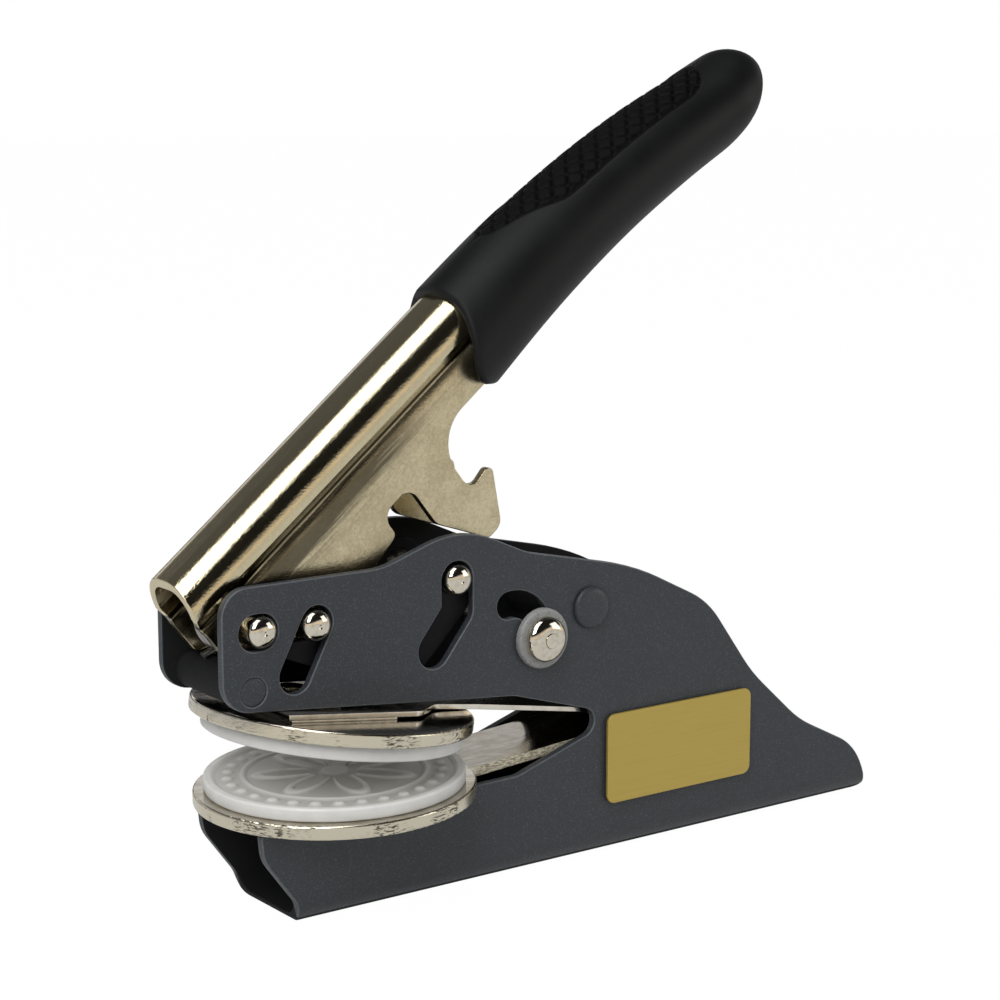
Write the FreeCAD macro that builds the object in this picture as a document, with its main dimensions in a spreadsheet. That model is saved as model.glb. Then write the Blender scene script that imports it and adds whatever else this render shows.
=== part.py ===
import FreeCAD, Part
import math
import os
import re
import Sketcher

# Hand-held seal embosser: a folded steel frame with an upper arm and a lower jaw,
# a two-plate die set on a spring strip, a press bar in the arm, and a lever handle
# with a rubber grip and a lock pin in a curved slot.
#
# Lengths are millimetres and angles degrees.  Pieces are drawn in nose coordinates:
# x runs from the frame's nose to its tail, y across, z up from the base.  The handle
# is drawn from its pivot pin, with x along the handle.

SIZES = {
    # frame: one sheet folded round the base
    "frame_width": 20.5,
    "sheet_thickness": 1.5,
    "fold_radius": 4.75,
    "base_centre": 74.0,
    # lower jaw and die set
    "seat_height": 16.9,
    "die_x": 26.1,
    "die_tilt": 1.0,
    "open_die_x": 25.5,
    "open_die_z": 30.05,
    "open_tilt": 7.5,
    "plate_diameter": 46.0,
    "plate_thickness": 2.3,
    "die_diameter": 42.5,
    "lower_die_thickness": 2.2,
    "upper_die_thickness": 2.5,
    "upper_die_shift": 0.4,
    "die_edge": 0.4,
    "neck_width": 15.3,
    "neck_thickness": 1.6,
    "neck_root_x": 44.0,
    "neck_root_z": 19.07,
    "neck_slope": 4.3,
    "insert_end": 91.3,
    # spring strip over the upper plate, and the doubler under its head
    "strip_thickness": 0.9,
    "doubler_thickness": 0.4,
    "head_width": 26.0,
    "head_front": 9.95,
    "head_rear": 34.4,
    "shoulder_rear": 40.4,
    "doubler_rear": 29.35,
    "strip_bend_x": 69.65,
    "strip_bend_z": 25.6,
    "strip_join_x": 83.4,
    "clamp_rivet_x": 21.0,
    "clamp_rivet_pitch": 10.0,
    "clamp_rivet_diameter": 3.0,
    "clamp_rivet_head": 5.0,
    "rim_clear": 0.3,
    "strip_play": 0.03,
    "insert_rivet_x": 87.3,
    "insert_rivet_pitch": 7.6,
    "insert_rivet_diameter": 3.0,
    "insert_rivet_head": 5.0,
    "rivet_head_thickness": 0.8,
    "rivet_dome": 0.5,
    # pins through the frame
    "pin_diameter": 5.0,
    "pin_stand": 1.5,
    "pin_dome": 1.9,
    "pivot_x": 6.85,
    "pivot_z": 48.6,
    "pivot_slot_x": 6.35,
    "pivot_slot_z": 48.55,
    "pivot_slot_travel": 1.1,
    "pivot_slot_width": 5.8,
    "drive_along": 7.4,
    "drive_below": -6.3,
    "drive_slot_x": 16.8,
    "drive_slot_z": 48.62,
    "drive_slot_foot_x": 12.8,
    "drive_slot_foot_z": 40.82,
    "drive_slot_width": 5.7,
    # press bar and its studs
    "stud_x": 43.3,
    "stud_z": 52.25,
    "stud_slot_width": 6.1,
    "stud_slot_knee_z": 47.0,
    "stud_slot_foot_x": 38.75,
    "stud_slot_foot_z": 41.2,
    "press_play": 0.55,
    "press_width": "=frame_width - 2 * sheet_thickness - 2 * press_play",
    "press_slot_x": 15.3,
    "press_slot_z": 48.62,
    "press_slot_travel": 2.8,
    # lock pin in its curved slot
    "lock_x": 54.55,
    "lock_z": 41.2,
    "lock_radius": 5.5,
    "lock_parked_angle": -8.4,
    "lock_engaged_angle": 101.0,
    "lock_diameter": 4.2,
    "lock_slot_width": 4.6,
    "washer_diameter": 10.2,
    "washer_thickness": 1.2,
    "washer_edge": 0.4,
    "washer_play": 0.06,
    "cap_diameter": 7.7,
    "cap_thickness": 2.0,
    "cap_dome": 1.5,
    "lock_tip_diameter": 2.4,
    "lock_tip_stand": 0.15,
    # cross spacers riveted through the walls
    "front_spacer_x": 5.35,
    "front_spacer_z": 39.4,
    "front_spacer_diameter": 6.0,
    "front_rivet_diameter": 4.6,
    "rear_spacer_x": 70.55,
    "rear_spacer_z": 44.2,
    "rear_spacer_diameter": 8.0,
    "rear_rivet_diameter": 5.0,
    "rear_head_diameter": 7.2,
    "rear_head_thickness": 1.1,
    "rear_head_dome": 0.7,
    # blank nameplate on the near wall
    "nameplate_x": 90.2,
    "nameplate_z": 17.15,
    "nameplate_length": 32.6,
    "nameplate_height": 15.7,
    "nameplate_corner": 1.6,
    "nameplate_metal": 0.55,
    "nameplate_glue": 0.35,
    # handle: keyhole section, folded from one sheet
    "handle_tilt": 39.0,
    "flange_play": 0.4,
    "flange_width": "=press_width - 2 * sheet_thickness - 2 * flange_play",
    "crease_depth": 0.9,
    "crease_width": "=flange_width - 2 * crease_depth",
    "tube_swell": 0.3,
    "tube_width": "=flange_width + 2 * tube_swell",
    "tube_top": 13.15,
    "tube_foot": 7.2,
    "crease_z": 5.3,
    "flange_top": 3.5,
    "tube_round": 5.2,
    "crease_round": 0.8,
    "lever_front": -9.0,
    "lever_rear": 73.0,
    "lever_low": -24.0,
    "mouth_top": 60.9,
    "mouth_toe": 64.0,
    "grip_nose": 6.0,
    "grip_end_round": 8.2,
    "grip_back_fall": 16.0,
    "grip_side_taper": 1.55,
    # torsion spring round the pivot pin
    "wire_diameter": 1.3,
    "coil_radius": 4.2,
    "coil_pitch": 1.42,
    "coil_turns": 4,
    "coil_start_angle": -66.7,
    "coil_end_angle": 55.0,
    "spring_foot": 5.0,
    "spring_arm": 22.0,
}

# Corners of side outlines: x, z and the rounding at the corner, 0 where it is sharp.
WALL = {
    "nose_foot": (0.0, 36.75, 5.0),
    "nose_top": (0.0, 55.8, 4.5),
    "brow": (29.0, 55.8, 14.0),
    "hump": (44.2, 60.86, 18.0),
    "saddle": (57.4, 55.1, 15.0),
    "back": (80.0, 50.2, 50.0),
    "shoulder": (96.9, 41.85, 18.0),
    "flank": (107.47, 27.56, 35.0),
    "run_out": (119.34, 16.9, 25.0),
    "tail": (133.8, 9.65, 12.0),
    "tail_foot": (137.3, 1.2, 1.0),
    "base_rear": (135.0, 0.0, 1.0),
    "base_front": (13.5, 0.0, 2.0),
    "cheek": (12.5, 4.2, 4.0),
    "jaw_front": (6.6, 12.2, 6.0),
    "jaw_tip": (6.2, "=seat_height + tan(die_tilt) * (jaw_tip_x - die_x)", 0.8),
    "jaw_rear": (55.5, "=seat_height + tan(die_tilt) * (jaw_rear_x - die_x)", 4.0),
    "throat": (77.6, 24.4, 2.5),
    "throat_roof": (54.8, 31.2, 8.0),
}
LEVER = {
    "front_top": (-3.4, 15.0, 0.0),
    "front_neck": (-5.8, 7.3, 3.0),
    "front_foot": (-5.8, -2.6, 1.5),
    "chin": (0.2, -5.3, 2.0),
    "belly_front": (3.6, -11.0, 3.0),
    "belly_rear": (12.5, -11.0, 5.0),
    "lobe": (28.5, -8.5, 1.2),
    "arch_front": (28.5, -4.2, 2.4),
    "arch_rear": (35.2, -4.2, 2.4),
    "arch_foot": (35.0, -12.6, 3.0),
    "heel_front": (41.0, -21.9, 1.3),
    "heel_rear": (44.2, -21.9, 2.2),
    "hook_tip": (49.5, -12.1, 1.0),
    "hook_floor": (43.3, -13.3, 2.0),
    "hook_roof": (43.5, -1.5, 7.2),
    "grip_mouth": (60.0, -1.5, 0.0),
    "grip_foot": (73.0, 0.2, 0.0),
    "grip_top": (73.0, 15.0, 0.0),
}
PRESS = {
    "bar_nose": (9.8, 52.4, 2.0),
    "bar_brow": (24.0, 52.4, 8.0),
    "bar_crown": (38.0, 56.4, 4.0),
    "bar_top": (47.4, 56.4, 3.0),
    "bar_back": (47.4, 47.5, 4.0),
    "foot_rear": (36.2, 36.4, 3.0),
    "foot_heel": (36.2, 33.35, 1.0),
    "foot_toe": (29.2, 33.35, 1.0),
    "foot_front": (29.2, 36.4, 3.0),
    "bar_chin": (9.8, 44.2, 2.5),
}
MOUTH = {
    "mouth_lip": (60.4, 12.2, 6.0),
    "mouth_knee": (55.0, 2.8, 4.0),
    "mouth_chin": (54.9, -0.4, 2.5),
}

# Stations of the grip: distance along the handle, centre, half height, half width.
GRIP = [
    (54.5, 4.7, 10.05, 10.15),
    (76.0, 5.3, 9.1, 9.5),
    (94.0, 4.6, 8.4, 9.2),
    (110.0, 2.7, 8.0, 9.0),
    (124.0, 0.1, 7.7, 8.8),
    (137.0, -2.2, 7.4, 8.7),
]

# Height of the strip's section, which is cut square to the base.
STRIP_HEIGHT = "strip_thickness / cos(open_tilt)"

doc = FreeCAD.newDocument("SealEmbosser")
sheet = doc.addObject("Spreadsheet::Sheet", "Sizes")
aliases = {}


def fill_sheet():
    """Writes every size into the spreadsheet, one row each with its own alias."""
    aliases.update(SIZES)
    for outline in (WALL, LEVER, PRESS, MOUTH):
        for name, corner in outline.items():
            for letter, value in zip("xzr", corner):
                aliases[f"{name}_{letter}"] = value
    for number, station in enumerate(GRIP, start=1):
        for word, value in zip(("along", "centre", "high", "wide"), station):
            aliases[f"grip{number}_{word}"] = value
    for row, (alias, value) in enumerate(aliases.items(), start=1):
        sheet.set(f"A{row}", alias)
        sheet.set(f"B{row}", str(value))
        sheet.setAlias(f"B{row}", alias)
    doc.recompute()


def bound(expression):
    """The expression with its size names turned into references to the sheet."""
    def refer(match):
        word = match.group()
        return "Sizes." + word if word in aliases else word
    return re.sub(r"[a-z]\w*", refer, str(expression))


def value_of(expression):
    return float(sheet.evalExpression(bound(expression)))


def bind(feature, prop, expression):
    feature.setExpression(prop, bound(expression))


def place(piece, x="0", y="0", z="0"):
    """Moves a piece from nose coordinates to the part's origin at the base's centre."""
    bind(piece, "Placement.Base.x", f"{x} - base_centre")
    bind(piece, "Placement.Base.y", y)
    bind(piece, "Placement.Base.z", z)
    return piece


def tilt(piece, angle, downhill=False):
    """Turns a piece about y: its tail rises, or falls when it runs downhill."""
    axis = FreeCAD.Vector(0, 1 if downhill else -1, 0)
    piece.Placement = FreeCAD.Placement(
        FreeCAD.Vector(0, 0, 0), FreeCAD.Rotation(axis, value_of(angle))
    )
    bind(piece, "Placement.Rotation.Angle", angle)


def new_body(name):
    body = doc.addObject("PartDesign::Body", name)
    doc.recompute()
    return body


def new_sketch(body, role, offset=None):
    sketch = body.newObject("Sketcher::SketchObject", body.Name + "_sketch")
    plane = next(f for f in body.Origin.OriginFeatures if f.Role == role)
    sketch.AttachmentSupport = [(plane, "")]
    sketch.MapMode = "FlatFace"
    if offset:
        bind(sketch, "AttachmentOffset.Base.z", offset)
    return sketch


def hold(sketch, kind, expression, *where):
    """Adds a dimension to the sketch that follows an expression."""
    index = sketch.addConstraint(Sketcher.Constraint(kind, *where, value_of(expression)))
    sketch.setExpression(f"Constraints[{index}]", bound(expression))


def hold_point(sketch, item, vertex, x, z):
    hold(sketch, "DistanceX", x, -1, 1, item, vertex)
    hold(sketch, "DistanceY", z, -1, 1, item, vertex)


def vector(x, z):
    return FreeCAD.Vector(value_of(x), value_of(z), 0)


def draw_polygon(sketch, corners):
    points = [vector(x, z) for x, z in corners]
    count = len(points)
    for i in range(count):
        sketch.addGeometry(Part.LineSegment(points[i], points[(i + 1) % count]))
    for i in range(count):
        sketch.addConstraint(Sketcher.Constraint("Coincident", i, 2, (i + 1) % count, 1))
    for i, (x, z) in enumerate(corners):
        hold_point(sketch, i, 1, x, z)


def draw_circle(sketch, x, z, diameter):
    radius = value_of(diameter) / 2
    item = sketch.addGeometry(Part.Circle(vector(x, z), FreeCAD.Vector(0, 0, 1), radius))
    hold_point(sketch, item, 3, x, z)
    hold(sketch, "Diameter", diameter, item)


def draw_slot(sketch, start, end, width):
    """A straight slot between two end centres: two lines and two half circles."""
    a, b = vector(*start), vector(*end)
    radius = value_of(width) / 2
    along = (b - a).normalize() * radius
    side = FreeCAD.Vector(-along.y, along.x, 0)
    shapes = [
        Part.LineSegment(a + side, b + side),
        Part.Arc(b + side, b + along, b - side),
        Part.LineSegment(b - side, a - side),
        Part.Arc(a - side, a - along, a + side),
    ]
    items = [sketch.addGeometry(shape) for shape in shapes]
    joints = [b + side, b - side, a - side, a + side]
    for i, point in enumerate(joints):
        following = items[(i + 1) % len(items)]
        sketch.addConstraint(Sketcher.Constraint(
            "Tangent", items[i], vertex_at(sketch, items[i], point),
            following, vertex_at(sketch, following, point),
        ))
    sketch.addConstraint(Sketcher.Constraint("Equal", items[1], items[3]))
    hold_point(sketch, items[3], 3, *start)
    hold_point(sketch, items[1], 3, *end)
    hold(sketch, "Radius", f"{width} / 2", items[3])


def vertex_at(sketch, item, point):
    """Which end of a sketch item lies at the point: 1 its start, 2 its end."""
    return 1 if sketch.getPoint(item, 1).distanceToPoint(point) < 1e-4 else 2


def draw_bent_slot(sketch, centre, radius, start, end, width):
    """A slot that follows an arc about a centre, between two angles."""
    middle = vector(*centre)
    reach, half = value_of(radius), value_of(width) / 2
    first, last = math.radians(value_of(start)), math.radians(value_of(end))
    half_way = (first + last) / 2

    def at(angle, distance):
        return middle + FreeCAD.Vector(math.cos(angle), math.sin(angle), 0) * distance

    def cap_tip(angle, turn):
        tangent = FreeCAD.Vector(-math.sin(angle), math.cos(angle), 0)
        return at(angle, reach) + tangent * half * turn

    outer, inner = reach + half, reach - half
    sketch.addGeometry(Part.Arc(at(first, outer), at(half_way, outer), at(last, outer)))
    sketch.addGeometry(Part.Arc(at(last, outer), cap_tip(last, 1), at(last, inner)))
    sketch.addGeometry(Part.Arc(at(last, inner), at(half_way, inner), at(first, inner)))
    sketch.addGeometry(Part.Arc(at(first, inner), cap_tip(first, -1), at(first, outer)))


def pad(body, sketch, depth, symmetric=True):
    feature = body.newObject("PartDesign::Pad", body.Name + "_pad")
    feature.Profile = sketch
    if symmetric:
        feature.SideType = "Symmetric"
    bind(feature, "Length", depth)
    doc.recompute()
    return feature


def cut_through(body, sketch):
    before = body.Shape.Volume
    pocket = body.newObject("PartDesign::Pocket", body.Name + "_hole")
    pocket.Profile = sketch
    pocket.Type = "ThroughAll"
    pocket.SideType = "Symmetric"
    doc.recompute()
    if body.Shape.Volume >= before:
        raise RuntimeError(f"{body.Name}: a hole removed nothing")


def round_edges(body, radius, wanted):
    """Rounds the edges of the body for which wanted(edge) is true."""
    edges = enumerate(body.Shape.Edges, start=1)
    names = [f"Edge{number}" for number, edge in edges if wanted(edge)]
    if not names:
        raise RuntimeError(f"{body.Name}: no edge to round")
    tip = body.Tip
    fillet = body.newObject("PartDesign::Fillet", body.Name + "_round")
    fillet.Base = (tip, names)
    bind(fillet, "Radius", radius)
    doc.recompute()
    if fillet.Shape.isNull():
        raise RuntimeError(f"{body.Name}: the rounding {radius} failed")


def round_rim(body, radius, direction, level, diameter=None):
    """Rounds the edges that lie in a plane across a direction, all or of one diameter."""
    height = value_of(level)

    def wanted(edge):
        if diameter and abs(edge.Length - math.pi * value_of(diameter)) > 1e-4:
            return False
        return all(abs(p.dot(direction) - height) < 1e-4 for p in edge.discretize(3))

    round_edges(body, radius, wanted)


def rounded_outline(name, corners, depth, role="XZ_Plane", symmetric=True):
    """A body padded from a polygon, with each corner that has a radius rounded."""
    body = new_body(name)
    sketch = new_sketch(body, role)
    draw_polygon(sketch, [(x, z) for x, z, _ in corners])
    pad(body, sketch, depth, symmetric)
    first = FreeCAD.Vector(0, 1, 0) if role == "YZ_Plane" else FreeCAD.Vector(1, 0, 0)
    second = FreeCAD.Vector(0, 1, 0) if role == "XY_Plane" else FreeCAD.Vector(0, 0, 1)
    groups = {}
    for x, z, radius in corners:
        if radius and value_of(radius) > 0:
            groups.setdefault(radius, []).append((value_of(x), value_of(z)))

    def at_corner(edge, points):
        ends = edge.discretize(3)
        return any(
            all(abs(e.dot(first) - x) < 1e-4 and abs(e.dot(second) - z) < 1e-4 for e in ends)
            for x, z in points
        )

    for radius, points in groups.items():
        round_edges(body, radius, lambda edge: at_corner(edge, points))
    return body


def corners_of(outline):
    return [(f"{name}_x", f"{name}_z", f"{name}_r") for name in outline]


def combine(kind, name, *pieces):
    """A cut (first minus second), common or fuse of some pieces."""
    feature = doc.addObject("Part::" + kind, name)
    if kind == "Cut":
        feature.Base, feature.Tool = pieces
    else:
        feature.Shapes = list(pieces)
    doc.recompute()
    return feature


def mirrored_pair(name, piece):
    """The piece on the near side together with its mirror image on the far side."""
    twin = doc.addObject("Part::Mirroring", name + "_twin")
    twin.Source = piece
    twin.Normal = FreeCAD.Vector(0, 1, 0)
    return combine("MultiFuse", name, piece, twin)


def near_disc(name, x, z, diameter, start, thickness, bore=None, dome=None):
    """A disc across y on the near side, from a distance off the middle plane outward."""
    body = new_body(name)
    sketch = new_sketch(body, "XZ_Plane", start)
    draw_circle(sketch, x, z, diameter)
    if bore:
        draw_circle(sketch, x, z, bore)
    pad(body, sketch, thickness, symmetric=False)
    round_rim(body, dome, FreeCAD.Vector(0, -1, 0), f"{start} + {thickness}", diameter)
    return body


def cross_bar(name, x, z, diameter, length, dome=None):
    """A round bar across the frame, with domed ends where asked."""
    body = new_body(name)
    sketch = new_sketch(body, "XZ_Plane")
    draw_circle(sketch, x, z, diameter)
    pad(body, sketch, length)
    if dome:
        for side in (1, -1):
            round_rim(body, dome, FreeCAD.Vector(0, side, 0), f"({length}) / 2")
    return body


def flat_disc(name, diameter, start, thickness, edge):
    """A round plate about its own centre, with both rims eased."""
    body = new_body(name)
    sketch = new_sketch(body, "XY_Plane", start)
    draw_circle(sketch, "0", "0", diameter)
    pad(body, sketch, thickness, symmetric=False)
    up = FreeCAD.Vector(0, 0, 1)
    round_rim(body, edge, up, start)
    round_rim(body, edge, up, f"{start} + {thickness}")
    return body


def rivet_pair(name, pitch, reach, diameter, head):
    """Two rivets across the frame, from their feet at z = 0: the shanks, and the pair."""
    shanks, rivets = [], []
    for word, side in (("near", -1), ("far", 1)):
        shank = doc.addObject("Part::Cylinder", f"{name}_{word}_shank")
        bind(shank, "Radius", f"{diameter} / 2")
        bind(shank, "Height", reach)
        bind(shank, "Placement.Base.y", f"{side} * {pitch} / 2")
        cap = new_body(f"{name}_{word}_head")
        sketch = new_sketch(cap, "XY_Plane", reach)
        draw_circle(sketch, "0", f"{side} * {pitch} / 2", head)
        pad(cap, sketch, "rivet_head_thickness", symmetric=False)
        top = f"{reach} + rivet_head_thickness"
        round_rim(cap, "rivet_dome", FreeCAD.Vector(0, 0, 1), top)
        shanks.append(shank)
        rivets += [shank, cap]
    return combine("MultiFuse", name + "_shanks", *shanks), combine("MultiFuse", name, *rivets)


def bores_for(name, shanks, x, z, angle, downhill=False):
    """The rivets' shanks again, turned and moved in nose coordinates to cut with."""
    bores = combine("MultiFuse", name, shanks)
    tilt(bores, angle, downhill)
    bind(bores, "Placement.Base.x", x)
    bind(bores, "Placement.Base.z", z)
    doc.recompute()
    return bores


def make_frame():
    """The frame: its side outline and holes, crossed with the folded channel."""
    sides = rounded_outline("frame_sides", corners_of(WALL), "frame_width")
    half_travel = "pivot_slot_travel / 2"
    slots = [
        ((f"pivot_slot_x - {half_travel}", "pivot_slot_z"),
         (f"pivot_slot_x + {half_travel}", "pivot_slot_z"), "pivot_slot_width"),
        (("drive_slot_x", "drive_slot_z"),
         ("drive_slot_foot_x", "drive_slot_foot_z"), "drive_slot_width"),
        (("stud_x", "stud_z"), ("stud_x", "stud_slot_knee_z"), "stud_slot_width"),
        (("stud_x", "stud_slot_knee_z"),
         ("stud_slot_foot_x", "stud_slot_foot_z"), "stud_slot_width"),
    ]
    for start, end, width in slots:
        sketch = new_sketch(sides, "XZ_Plane")
        draw_slot(sketch, start, end, width)
        cut_through(sides, sketch)
    sketch = new_sketch(sides, "XZ_Plane")
    draw_bent_slot(sketch, ("lock_x", "lock_z"), "lock_radius",
                   "lock_parked_angle", "lock_engaged_angle", "lock_slot_width")
    cut_through(sides, sketch)
    sketch = new_sketch(sides, "XZ_Plane")
    draw_circle(sketch, "front_spacer_x", "front_spacer_z", "front_rivet_diameter")
    draw_circle(sketch, "rear_spacer_x", "rear_spacer_z", "rear_rivet_diameter")
    cut_through(sides, sketch)
    half, inner = "frame_width / 2", "(frame_width / 2 - sheet_thickness)"
    inner_fold = "fold_radius - sheet_thickness"
    fold = rounded_outline("frame_fold", [
        (half, "hump_z", None), (half, "0", "fold_radius"),
        (f"-{half}", "0", "fold_radius"), (f"-{half}", "hump_z", None),
        (f"-{inner}", "hump_z", None), (f"-{inner}", "sheet_thickness", inner_fold),
        (inner, "sheet_thickness", inner_fold), (inner, "hump_z", None),
    ], "tail_foot_x", "YZ_Plane", symmetric=False)
    return [place(combine("MultiCommon", "frame", sides, fold))]


def make_spacers():
    """Two cross spacers, riveted over through the walls."""
    between, across = "frame_width - 2 * sheet_thickness", "frame_width"
    front_at = ("front_spacer_x", "front_spacer_z")
    rear_at = ("rear_spacer_x", "rear_spacer_z")
    front = combine(
        "MultiFuse", "front_spacer",
        cross_bar("front_bar", *front_at, "front_spacer_diameter", between),
        cross_bar("front_rivet", *front_at, "front_rivet_diameter", across),
    )
    head = near_disc("rear_head", *rear_at, "rear_head_diameter", "frame_width / 2",
                     "rear_head_thickness", dome="rear_head_dome")
    rear = combine(
        "MultiFuse", "rear_spacer",
        cross_bar("rear_bar", *rear_at, "rear_spacer_diameter", between),
        cross_bar("rear_rivet", *rear_at, "rear_rivet_diameter", across),
        mirrored_pair("rear_heads", head),
    )
    return [place(front), place(rear)]


def make_nameplate():
    """A blank metal plate on an adhesive pad, on the near wall."""
    corners = [
        (f"nameplate_x + {side} * nameplate_length / 2",
         f"nameplate_z + {end} * nameplate_height / 2", "nameplate_corner")
        for side, end in ((-1, -1), (1, -1), (1, 1), (-1, 1))
    ]
    glue = rounded_outline("nameplate_pad", corners, "nameplate_glue", symmetric=False)
    metal = rounded_outline("nameplate", corners, "nameplate_metal", symmetric=False)
    return [place(glue, y="-frame_width / 2"),
            place(metal, y="-(frame_width / 2 + nameplate_glue)")]


def neck_top(x):
    """Height of the neck's top face at a distance from the nose."""
    return f"(neck_root_z + tan(neck_slope) * ({x} - neck_root_x))"


def over_plate(x, gap):
    """Height above the base of a point over the upper plate, by a gap off its top."""
    stack = f"(plate_thickness + {gap}) / cos(open_tilt)"
    return f"(open_die_z + {stack} - tan(open_tilt) * ({x} - open_die_x))"


def make_lower_set():
    """Lower plate with its neck on the jaw, the lower die, and the tail rivets."""
    plate = flat_disc("lower_disc", "plate_diameter", "0", "plate_thickness", "die_edge")
    tilt(plate, "die_tilt")
    bind(plate, "Placement.Base.x", "die_x")
    bind(plate, "Placement.Base.z", "seat_height")
    neck = rounded_outline("neck", [
        ("neck_root_x", "neck_root_z", None),
        ("neck_root_x", "neck_root_z - neck_thickness", None),
        ("insert_end", f"{neck_top('insert_end')} - neck_thickness", None),
        ("insert_end", neck_top("insert_end"), None),
    ], "neck_width")
    die = flat_disc("lower_die", "die_diameter", "plate_thickness",
                    "lower_die_thickness", "die_edge")
    tilt(die, "die_tilt")
    shanks, rivets = rivet_pair(
        "insert_rivets", "insert_rivet_pitch",
        f"(neck_thickness + {STRIP_HEIGHT}) * cos(neck_slope)",
        "insert_rivet_diameter", "insert_rivet_head",
    )
    foot = f"{neck_top('insert_rivet_x')} - neck_thickness"
    bores = bores_for("insert_bores", shanks, "insert_rivet_x", foot, "neck_slope")
    tilt(rivets, "neck_slope")
    blank = combine("MultiFuse", "lower_blank", plate, neck)
    bored = combine("Cut", "lower_die_plate", blank, bores)
    pieces = [
        place(bored),
        place(die, x="die_x", z="seat_height"),
        place(rivets, x="insert_rivet_x", z=foot),
    ]
    return pieces, bores


def make_upper_set(insert_bores):
    """Upper plate, die and doubler at the open angle, and the strip that carries them."""
    plate = flat_disc("upper_disc", "plate_diameter", "0", "plate_thickness", "die_edge")
    die = flat_disc("upper_die", "die_diameter", "-upper_die_thickness",
                    "upper_die_thickness", "die_edge")
    doubler = new_body("doubler_blank")
    sketch = new_sketch(doubler, "XY_Plane", "plate_thickness")
    front, rear = "head_front - open_die_x", "doubler_rear - open_die_x"
    half_head = "head_width / 2"
    draw_polygon(sketch, [(front, f"-{half_head}"), (rear, f"-{half_head}"),
                          (rear, half_head), (front, half_head)])
    pad(doubler, sketch, "doubler_thickness", symmetric=False)
    shanks, rivets = rivet_pair(
        "clamp_rivets", "clamp_rivet_pitch",
        "plate_thickness + doubler_thickness + strip_thickness",
        "clamp_rivet_diameter", "clamp_rivet_head",
    )
    along = "(clamp_rivet_x - open_die_x)"
    local = combine("MultiFuse", "clamp_bores", shanks)
    bind(local, "Placement.Base.x", along)
    at = (f"open_die_x + {along} * cos(open_tilt)", f"open_die_z - {along} * sin(open_tilt)")
    bores = bores_for("strip_bores", shanks, *at, "open_tilt", downhill=True)
    pieces = [
        combine("Cut", "upper_die_plate", plate, local),
        combine("Cut", "doubler", doubler, local),
        die,
    ]
    for piece in pieces:
        tilt(piece, "open_tilt", downhill=True)
        place(piece, x="open_die_x", z="open_die_z")
    place(die, x="open_die_x + upper_die_shift * cos(open_tilt)",
          z="open_die_z - upper_die_shift * sin(open_tilt)")
    tilt(rivets, "open_tilt", downhill=True)
    place(rivets, x=at[0], z=at[1])
    return pieces + [rivets, make_strip(bores, insert_bores)]


def make_strip(*bores):
    """The spring strip: its bent side profile, crossed with its shape from above."""
    rim = "(open_die_x + plate_diameter / 2 + rim_clear)"
    spine = [
        ("head_front", over_plate("head_front", "doubler_thickness")),
        ("head_rear", over_plate("head_rear", "doubler_thickness")),
        (rim, over_plate(rim, "strip_play")),
        ("strip_bend_x", "strip_bend_z"),
        ("strip_join_x", neck_top("strip_join_x")),
        ("insert_end", neck_top("insert_end")),
    ]
    top = [(x, f"{z} + {STRIP_HEIGHT}") for x, z in reversed(spine)]
    profile = new_body("strip_profile")
    sketch = new_sketch(profile, "XZ_Plane")
    draw_polygon(sketch, spine + top)
    pad(profile, sketch, "head_width")
    half_head, half_neck = "head_width / 2", "neck_width / 2"
    shoulder = "(head_width - neck_width) / 4"
    plan = rounded_outline("strip_plan", [
        ("head_front", f"-{half_head}", None),
        ("head_rear", f"-{half_head}", shoulder),
        ("shoulder_rear", f"-{half_neck}", shoulder),
        ("insert_end", f"-{half_neck}", None),
        ("insert_end", half_neck, None),
        ("shoulder_rear", half_neck, shoulder),
        ("head_rear", half_head, shoulder),
        ("head_front", half_head, None),
    ], "nose_top_z", "XY_Plane", symmetric=False)
    blank = combine("MultiCommon", "strip_blank", profile, plan)
    tools = combine("MultiFuse", "strip_tools", *bores)
    return place(combine("Cut", "spring_strip", blank, tools))


def make_press():
    """The press bar, a pair of side plates on a foot, and its two guide studs."""
    sides = rounded_outline("press_sides", corners_of(PRESS), "press_width")
    sketch = new_sketch(sides, "XZ_Plane")
    half_travel = "press_slot_travel / 2"
    draw_slot(sketch, (f"press_slot_x - {half_travel}", "press_slot_z"),
              (f"press_slot_x + {half_travel}", "press_slot_z"), "drive_slot_width")
    draw_circle(sketch, "stud_x", "stud_z", "pin_diameter")
    cut_through(sides, sketch)
    half, inner = "press_width / 2", "(press_width / 2 - sheet_thickness)"
    floor, roof = "foot_toe_z", "bar_crown_z"
    fold = rounded_outline("press_fold", [
        (half, roof, None), (half, floor, "sheet_thickness"),
        (f"-{half}", floor, "sheet_thickness"), (f"-{half}", roof, None),
        (f"-{inner}", roof, None), (f"-{inner}", f"{floor} + sheet_thickness", None),
        (inner, f"{floor} + sheet_thickness", None), (inner, roof, None),
    ], "bar_top_x", "YZ_Plane", symmetric=False)
    bar = combine("MultiCommon", "press_bar", sides, fold)
    stud = near_disc("press_stud", "stud_x", "stud_z", "pin_diameter",
                     "press_width / 2 - sheet_thickness",
                     "(frame_width - press_width) / 2 + sheet_thickness + pin_stand",
                     dome="pin_dome")
    return [place(bar), place(mirrored_pair("press_studs", stud))]


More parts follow.
